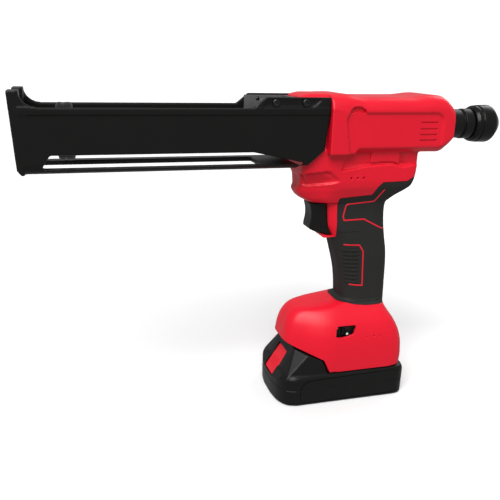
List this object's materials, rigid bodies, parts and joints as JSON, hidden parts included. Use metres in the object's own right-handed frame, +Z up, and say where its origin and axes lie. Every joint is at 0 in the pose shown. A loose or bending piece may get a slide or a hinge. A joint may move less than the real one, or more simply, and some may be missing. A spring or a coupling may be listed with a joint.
{
  "type": "caulking gun",
  "caption": "Cordless caulking gun with an open U-shaped cartridge tray, toothed push rod and piston, pistol grip and slide-on battery in the foot.",
  "frame": {"origin": "middle of the battery's underside", "axes": "+X from the nozzle end back to the pull knob, +Y to the tool's right side, +Z up"},
  "size_m": [0.4284, 0.0774, 0.2825],
  "materials": {
    "red_plastic": "satin moulded, fine texture",
    "rubber": "matte, soft-touch overmould",
    "black_plastic": "satin moulded glass-filled nylon",
    "steel": "plated",
    "bright_steel": "bright plated",
    "zinc_plate": "zinc plated",
    "copper": "enamelled copper winding on a laminated core",
    "cast_alloy": "as cast",
    "board": "solder mask",
    "cell_wrap": "shrink sleeve"
  },
  "bodies": {
    "housing": {"left_housing": "red_plastic", "right_housing": "red_plastic", "left_grip": "rubber", "right_grip": "rubber", "housing_screw_1": "steel", "housing_screw_2": "steel", "housing_screw_3": "steel", "housing_screw_4": "steel", "housing_screw_5": "steel", "housing_screw_6": "steel", "housing_screw_7": "steel", "cartridge_tray": "black_plastic", "tray_bracket": "steel", "tray_screw_1": "bright_steel", "tray_screw_2": "bright_steel", "tray_screw_3": "bright_steel", "tray_screw_4": "bright_steel", "front_rod_bush": "black_plastic", "rear_guide_sleeve": "black_plastic", "ring_gear": "steel", "motor_can": "zinc_plate", "motor_end_cap": "black_plastic", "gear_plate_left": "cast_alloy", "gear_plate_right": "cast_alloy", "output_bearing_left": "bright_steel", "output_bearing_right": "bright_steel", "cross_bearing_left": "bright_steel", "cross_bearing_right": "bright_steel", "trigger_switch": "black_plastic", "trigger_spring": "steel", "control_board": "board", "mode_switch_body": "black_plastic", "tool_contact_block": "black_plastic"},
    "rod": {"push_rod": "bright_steel", "piston_plate": "black_plastic", "piston_screw": "steel", "pull_knob": "black_plastic"},
    "output_shaft": {"rack_pinion_shaft": "steel", "output_gear": "steel"},
    "cross_gears": {"cross_shaft": "steel", "bevel_gear": "steel"},
    "carrier": {"planet_carrier": "steel"},
    "planet_1": {"planet_gear_1": "steel"},
    "planet_2": {"planet_gear_2": "steel"},
    "planet_3": {"planet_gear_3": "steel"},
    "rotor": {"motor_rotor": "copper"},
    "trigger": {"trigger": "black_plastic"},
    "mode_slider": {"mode_slider": "black_plastic"},
    "battery": {"battery_lower_case": "black_plastic", "battery_upper_case": "black_plastic", "battery_cell_1": "cell_wrap", "battery_cell_2": "cell_wrap", "battery_cell_3": "cell_wrap", "battery_cell_4": "cell_wrap", "battery_cell_5": "cell_wrap", "battery_board": "board", "release_spring": "steel"},
    "release_button": {"release_button": "red_plastic"}
  },
  "joints": [
    {"name": "rod_slide", "type": "slide", "parent": "housing", "child": "rod", "axis": [1, 0, 0], "range_m": [0, 0.175]},
    {"name": "output_spin", "type": "hinge", "parent": "housing", "child": "output_shaft", "pos_m": [-0.031, 0, 0.24063], "axis": [0, 1, 0], "range_deg": [-5, 1251.4]},
    {"name": "cross_spin", "type": "hinge", "parent": "housing", "child": "cross_gears", "pos_m": [-0.031, 0, 0.22462], "axis": [0, 1, 0], "range_deg": [-2082.3, 5]},
    {"name": "carrier_spin", "type": "hinge", "parent": "housing", "child": "carrier", "pos_m": [-0.0051, 0, 0.22462], "axis": [1, 0, 0], "range_deg": [-4159.7, 5]},
    {"name": "planet_1_spin", "type": "hinge", "parent": "carrier", "child": "planet_1", "pos_m": [-0.0051, 0.0081, 0.22462], "axis": [1, 0, 0], "range_deg": [-5, 11638.1]},
    {"name": "planet_2_spin", "type": "hinge", "parent": "carrier", "child": "planet_2", "pos_m": [-0.0051, -0.00405, 0.23164], "axis": [1, 0, 0], "range_deg": [-5, 11638.1]},
    {"name": "planet_3_spin", "type": "hinge", "parent": "carrier", "child": "planet_3", "pos_m": [-0.0051, -0.00405, 0.21761], "axis": [1, 0, 0], "range_deg": [-5, 11638.1]},
    {"name": "rotor_spin", "type": "hinge", "parent": "housing", "child": "rotor", "pos_m": [-0.0051, 0, 0.22462], "axis": [1, 0, 0], "range_deg": [-18701.1, 5]},
    {"name": "trigger_pull", "type": "slide", "parent": "housing", "child": "trigger", "axis": [1, 0, 0], "range_m": [0, 0.0055], "stiffness_N_per_m": 1200, "springref_m": -0.005, "deforming": ["trigger_spring"]},
    {"name": "mode_slide", "type": "slide", "parent": "housing", "child": "mode_slider", "axis": [1, 0, 0], "range_m": [-0.0035, 0.0035]},
    {"name": "battery_slide", "type": "slide", "parent": "housing", "child": "battery", "axis": [-1, 0, 0], "range_m": [0, 0.12]},
    {"name": "release_press", "type": "slide", "parent": "battery", "child": "release_button", "axis": [0.829, 0, -0.5592], "range_m": [0, 0.0028], "stiffness_N_per_m": 1500, "springref_m": -0.002, "deforming": ["release_spring"]}
  ],
  "couplings": [
    {"joint": "output_spin", "follows": "rod_slide", "rad_per_m": 123.08},
    {"joint": "cross_spin", "follows": "rod_slide", "rad_per_m": -205.13},
    {"joint": "carrier_spin", "follows": "rod_slide", "rad_per_m": -410.26},
    {"joint": "planet_1_spin", "follows": "rod_slide", "rad_per_m": 1148.7},
    {"joint": "planet_2_spin", "follows": "rod_slide", "rad_per_m": 1148.7},
    {"joint": "planet_3_spin", "follows": "rod_slide", "rad_per_m": 1148.7},
    {"joint": "rotor_spin", "follows": "rod_slide", "rad_per_m": -1846.2}
  ]
}
